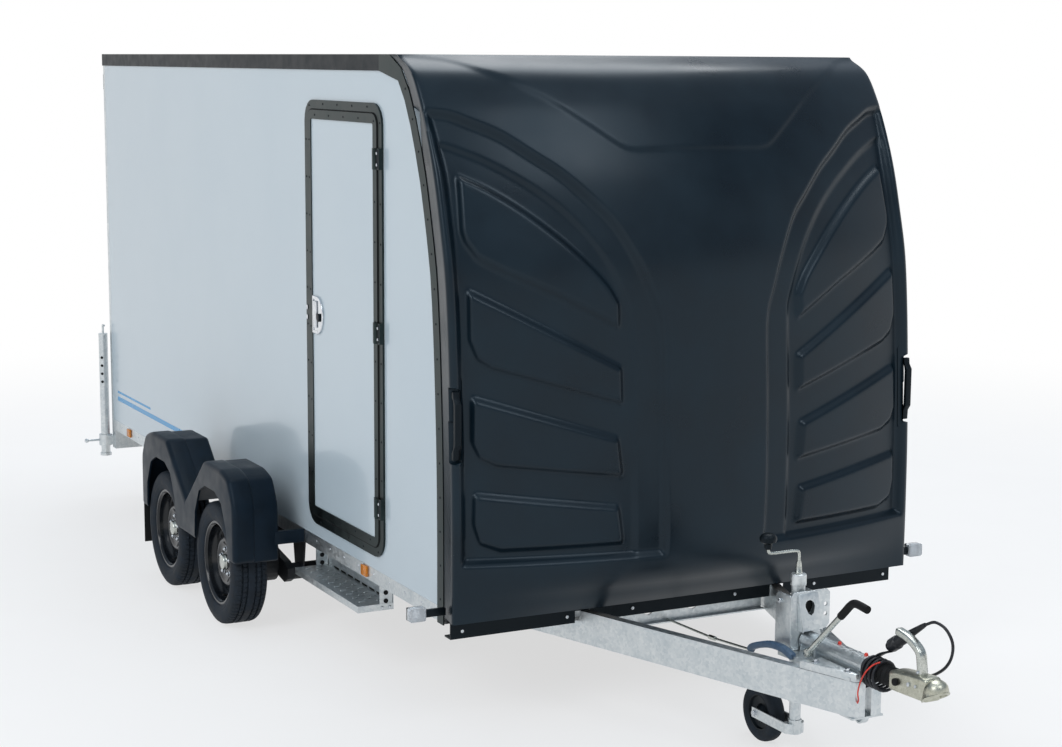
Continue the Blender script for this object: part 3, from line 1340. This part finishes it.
def make_jockey():
    top = RAIL_FOOT_Z + BASE_THICKNESS + GAP
    outline = [
        (BRACKET_REAR_Y, top),
        (BRACKET_REAR_Y, BRACKET_TOP_Z - BRACKET_HOLE_RADIUS),
        (BRACKET_FRONT_Y, BRACKET_TOP_Z),
        (BRACKET_FRONT_Y, top),
    ]
    bracket = slab(outline, BRACKET_HALF - BRACKET_SHEET, BRACKET_HALF)
    other = slab(outline, BRACKET_SHEET - BRACKET_HALF, -BRACKET_HALF)
    web = box(
        (-BRACKET_HALF, BRACKET_HALF),
        (BRACKET_FRONT_Y, BRACKET_FRONT_Y + BRACKET_SHEET),
        (top, BRACKET_TOP_Z),
    )
    collar = rod((0, JOCKEY_Y, COLLAR_FOOT_Z), (0, JOCKEY_Y, COLLAR_TOP_Z), COLLAR_RADIUS, ROUND_STEPS)
    ears = box(
        (-BRACKET_HALF + BRACKET_SHEET / 2, BRACKET_HALF - BRACKET_SHEET / 2),
        (JOCKEY_Y - COLLAR_RADIUS / 2, JOCKEY_Y + COLLAR_RADIUS / 2),
        (COLLAR_FOOT_Z + BRACKET_SHEET, COLLAR_TOP_Z - BRACKET_SHEET),
    )
    fuse(bracket, web, other, collar, ears)
    hole_z = BRACKET_TOP_Z - 2.4 * BRACKET_HOLE_RADIUS
    bore = rod(
        (0, JOCKEY_Y, COLLAR_FOOT_Z - OVERRUN),
        (0, JOCKEY_Y, COLLAR_TOP_Z + OVERRUN),
        JOCKEY_TUBE_RADIUS + GAP,
        ROUND_STEPS,
    )
    hole = rod(
        (0, BRACKET_FRONT_Y - BRACKET_SHEET, hole_z),
        (0, BRACKET_FRONT_Y + 2 * BRACKET_SHEET, hole_z),
        BRACKET_HOLE_RADIUS,
    )
    cut(bracket, bore, hole)
    finish(bracket, "jockey_bracket", ZINC)

    bore_radius = JOCKEY_TUBE_RADIUS - JOCKEY_TUBE_WALL
    foot, cap = JOCKEY_TUBE_FOOT_Z, JOCKEY_TUBE_TOP_Z
    tube = turned(
        [
            (0, cap),
            (JOCKEY_TUBE_RADIUS, cap),
            (JOCKEY_TUBE_RADIUS, foot),
            (bore_radius, foot),
            (bore_radius, cap - JOCKEY_CAP),
            (0, cap - JOCKEY_CAP),
        ],
        (0, JOCKEY_Y, 0),
        (0, 0, 1),
    )
    finish(tube, "jockey_outer_tube", ZINC)

    neck_foot = (0, JOCKEY_Y, cap + GAP)
    elbow = (0, JOCKEY_Y, CRANK_TOP_Z)
    knob_foot = (-CRANK_REACH, JOCKEY_Y, CRANK_TOP_Z)
    knob_top = (-CRANK_REACH, JOCKEY_Y, CRANK_TOP_Z + KNOB_HEIGHT)
    crank = wire([neck_foot, elbow, knob_foot, knob_top], CRANK_RADIUS)
    neck = rod(neck_foot, (0, JOCKEY_Y, cap + KNOB_HEIGHT), CRANK_NECK_RADIUS)
    knob = rod(
        (-CRANK_REACH, JOCKEY_Y, CRANK_TOP_Z + KNOB_RADIUS),
        (-CRANK_REACH, JOCKEY_Y, CRANK_TOP_Z + KNOB_RADIUS + KNOB_HEIGHT),
        KNOB_RADIUS,
    )
    fuse(crank, neck, knob)
    finish(crank, "jockey_crank", ZINC)

    leg_foot = JOCKEY_FORK_TOP_Z + GAP
    leg = rod((0, JOCKEY_Y, leg_foot), (0, JOCKEY_Y, JOCKEY_INNER_TOP_Z), JOCKEY_INNER_RADIUS, SMALL_STEPS)
    pivot = Vector((0, JOCKEY_Y, leg_foot))
    leg = finish(leg, "jockey_inner_tube", ZINC, pivot)

    wheel_y = JOCKEY_Y + JOCKEY_TRAIL
    axle_z = JOCKEY_WHEEL_RADIUS
    crown = rod((0, JOCKEY_Y, JOCKEY_FORK_FOOT_Z), (0, JOCKEY_Y, JOCKEY_FORK_TOP_Z), JOCKEY_TUBE_RADIUS)
    reach = JOCKEY_ARM_INNER + JOCKEY_ARM_THICKNESS
    arm_end = wheel_y + JOCKEY_ARM_HALF
    yoke = slab(
        [
            (-reach, arm_end),
            (-reach, JOCKEY_Y),
            (-JOCKEY_TUBE_RADIUS, JOCKEY_Y - JOCKEY_ARM_HALF),
            (JOCKEY_TUBE_RADIUS, JOCKEY_Y - JOCKEY_ARM_HALF),
            (reach, JOCKEY_Y),
            (reach, arm_end),
            (JOCKEY_ARM_INNER, arm_end),
            (JOCKEY_ARM_INNER, JOCKEY_Y + JOCKEY_ARM_HALF),
            (-JOCKEY_ARM_INNER, JOCKEY_Y + JOCKEY_ARM_HALF),
            (-JOCKEY_ARM_INNER, arm_end),
        ],
        axle_z - JOCKEY_ARM_HALF,
        axle_z + JOCKEY_ARM_HALF,
        "XY",
    )
    pin_end = reach - JOCKEY_ARM_THICKNESS / 2
    pin = rod((-pin_end, wheel_y, axle_z), (pin_end, wheel_y, axle_z), JOCKEY_PIN_RADIUS)
    fuse(crown, yoke, pin)
    fork = finish(crown, "jockey_fork", ZINC, (0, JOCKEY_Y, JOCKEY_FORK_TOP_Z), leg)

    half = JOCKEY_WHEEL_HALF
    crown_share = 0.75
    wheel = turned(
        [
            (JOCKEY_BORE, half),
            (JOCKEY_WHEEL_RADIUS * crown_share, half),
            (JOCKEY_WHEEL_RADIUS, half * crown_share),
            (JOCKEY_WHEEL_RADIUS, -half * crown_share),
            (JOCKEY_WHEEL_RADIUS * crown_share, -half),
            (JOCKEY_BORE, -half),
        ],
        (0, wheel_y, axle_z),
        (1, 0, 0),
        closed=True,
    )
    finish(wheel, "jockey_wheel", RUBBER, (0, wheel_y, axle_z), fork)


def make_cable():
    """The electric lead, wound on the bellows and looped up to its parked plug."""
    coil_radius = BELLOWS_RADIUS + CABLE_RADIUS + GAP
    coil_radius /= math.cos(HALF_TURN / CABLE_TURN_POINTS)
    start_y = HOUSING_FRONT_Y - 2 * CABLE_RADIUS
    pitch = 2 * CABLE_RADIUS + 4 * GAP
    coil = []
    for step in range(CABLE_TURNS * CABLE_TURN_POINTS + 1):
        turns = step / CABLE_TURN_POINTS
        angle = -QUARTER_TURN + 2 * HALF_TURN * turns
        coil.append(
            (
                coil_radius * math.cos(angle),
                start_y - pitch * turns,
                COUPLING_Z + coil_radius * math.sin(angle),
            )
        )
    lead_in = smooth_path([(0.012, -1.080, 0.345), (-0.006, -1.130, 0.372), coil[0]], 5)[:-1]
    loop = [
        coil[-1],
        (0.040, coil[-1][1] - 0.014, 0.396),
        (0.058, -1.330, 0.425),
        (0.064, -1.420, 0.470),
        (0.060, -1.490, 0.530),
        (0.054, -1.512, 0.590),
        (0.044, -1.475, 0.645),
        PLUG_END,
    ]
    route = [Vector(p) for p in lead_in] + [Vector(p) for p in coil[:-1]] + smooth_path(loop, 5)
    start, end = Vector(PLUG_START), Vector(PLUG_END)
    route[-1] = start.lerp(end, 0.9)
    cable = wire(route, CABLE_RADIUS)
    joint = start.lerp(end, 0.45)
    plug = rod(start, joint, PLUG_RADIUS)
    sleeve = rod(
        start.lerp(joint, 0.9), end, PLUG_RADIUS * 0.8, SMALL_STEPS, CABLE_RADIUS * 1.4
    )
    fuse(cable, plug, sleeve)
    finish(cable, "trailer_cable", BLACK_TRIM)


def make_step():
    top = STEP_FOOT_Z + STEP_HEIGHT
    tray = box((-STEP_OUTER_X, -STEP_INNER_X), (STEP_FRONT_Y, STEP_REAR_Y), (STEP_FOOT_Z, top))
    inside = box(
        (-STEP_OUTER_X + STEP_SHEET, -STEP_INNER_X - STEP_SHEET),
        (STEP_FRONT_Y + STEP_SHEET, STEP_REAR_Y - STEP_SHEET),
        (STEP_FOOT_Z - OVERRUN, top - STEP_SHEET),
    )
    cut(tray, inside)
    back = box(
        (-STEP_INNER_X - STEP_SHEET, -STEP_INNER_X),
        (STEP_FRONT_Y, STEP_REAR_Y),
        (STEP_FOOT_Z, RAIL_FOOT_Z - GAP),
    )
    fuse(tray, back)
    for y in (STEP_FRONT_Y + STEP_SHEET / 2, STEP_REAR_Y - STEP_HANGER_SHEET - STEP_SHEET / 2):
        hanger = box(
            (-HANGER_X, -HANGER_X - HANGER_WIDTH),
            (y, y + STEP_HANGER_SHEET),
            (STEP_FOOT_Z, RAIL_FOOT_Z - GAP),
        )
        fuse(tray, hanger)
    finish(tray, "door_step", ZINC)


def make_lamps():
    for side, place in ((-1, "right"), (1, "left")):
        half = CORNER_LAMP_HALF
        lamp = box(
            (side * (CORNER_LAMP_X - half), side * (CORNER_LAMP_X + half)),
            (CORNER_LAMP_Y - CORNER_LAMP_DEPTH / 2, CORNER_LAMP_Y + CORNER_LAMP_DEPTH / 2),
            (CORNER_LAMP_Z - CORNER_LAMP_HEIGHT / 2, CORNER_LAMP_Z + CORNER_LAMP_HEIGHT / 2),
        )
        arm = box(
            (side * (NOSE_SIDE + (NOSE_CORNER - NOSE_SIDE) * 0.41), side * (CORNER_LAMP_X - half / 2)),
            (CORNER_LAMP_Y - LAMP_ARM_HALF / 2, CORNER_LAMP_Y + LAMP_ARM_HALF / 2),
            (CORNER_LAMP_Z - LAMP_ARM_HALF, CORNER_LAMP_Z + LAMP_ARM_HALF),
        )
        fuse(lamp, arm)
        finish(lamp, f"corner_lamp_{place}", CLEAR_LENS)
        foot = REAR_CROSS_FOOT_Z
        tail = box(
            (side * (TAIL_LAMP_X - TAIL_LAMP_HALF), side * (TAIL_LAMP_X + TAIL_LAMP_HALF)),
            (BODY_REAR_Y + GAP, BODY_REAR_Y + TAIL_LAMP_DEPTH),
            (foot, foot + TAIL_LAMP_HEIGHT),
        )
        soften(tail, GUARD_SHEET)
        finish(tail, f"tail_lamp_{place}", RED_LENS)


def make_stands():
    for side, place in ((-1, "right"), (1, "left")):
        x = side * STAND_X
        post = rod((x, STAND_Y, STAND_FOOT_Z), (x, STAND_Y, STAND_TOP_Z), STAND_RADIUS, ROUND_STEPS)
        plate = rod(
            (x, STAND_Y, STAND_FOOT_Z),
            (x, STAND_Y, STAND_FOOT_Z + STAND_PLATE_HEIGHT),
            STAND_PLATE_RADIUS,
            ROUND_STEPS,
        )
        hook = wire(
            [
                (x, STAND_Y, STAND_TOP_Z - STAND_PLATE_HEIGHT),
                (x, STAND_Y, STAND_TOP_Z + STAND_HOOK_HEIGHT),
                (x, STAND_Y - STAND_RADIUS, STAND_TOP_Z + STAND_HOOK_HEIGHT),
            ],
            CLAMP_LEVER_RADIUS,
        )
        fuse(post, plate, hook)
        finish(post, f"prop_stand_{place}", ZINC, (x, STAND_Y, STAND_FOOT_Z))
        clamp = rod((x, STAND_Y, CLAMP_FOOT_Z), (x, STAND_Y, CLAMP_TOP_Z), CLAMP_RADIUS, ROUND_STEPS)
        tab = box(
            (side * (RAIL_HALF - POST_WIDTH), x),
            (BODY_REAR_Y + GAP, STAND_Y),
            (CLAMP_FOOT_Z + GUARD_SHEET, CLAMP_TOP_Z - GUARD_SHEET),
        )
        middle = (CLAMP_FOOT_Z + CLAMP_TOP_Z) / 2
        lever = rod((x, STAND_Y, middle), (x + side * CLAMP_LEVER, STAND_Y, middle), CLAMP_LEVER_RADIUS)
        tip = ball((x + side * CLAMP_LEVER, STAND_Y, middle), 2 * CLAMP_LEVER_RADIUS)
        fuse(clamp, tab, lever, tip)
        bore = rod(
            (x, STAND_Y, CLAMP_FOOT_Z - OVERRUN),
            (x, STAND_Y, CLAMP_TOP_Z + OVERRUN),
            STAND_RADIUS + CLAMP_CLEARANCE,
            ROUND_STEPS,
        )
        cut(clamp, bore)
        finish(clamp, f"stand_clamp_{place}", ZINC)


def main():
    make_nose()
    make_grab_handles()
    make_walls()
    make_front_trim()
    make_roof()
    make_floor()
    make_skirt()
    make_door(make_door_frame())
    inner, under = make_portal()
    make_ramp(inner, under)
    make_chassis()
    make_beams()
    make_wheels()
    make_axles()
    make_mudguards()
    make_coupling()
    make_brake_lever()
    make_jockey()
    make_cable()
    make_step()
    make_lamps()
    make_stands()
    bpy.context.view_layer.update()
    for obj in parts.objects:
        if obj.type == "MESH":
            obj.data.shade_smooth()
            obj.data.set_sharp_from_angle(angle=math.radians(35))


main()
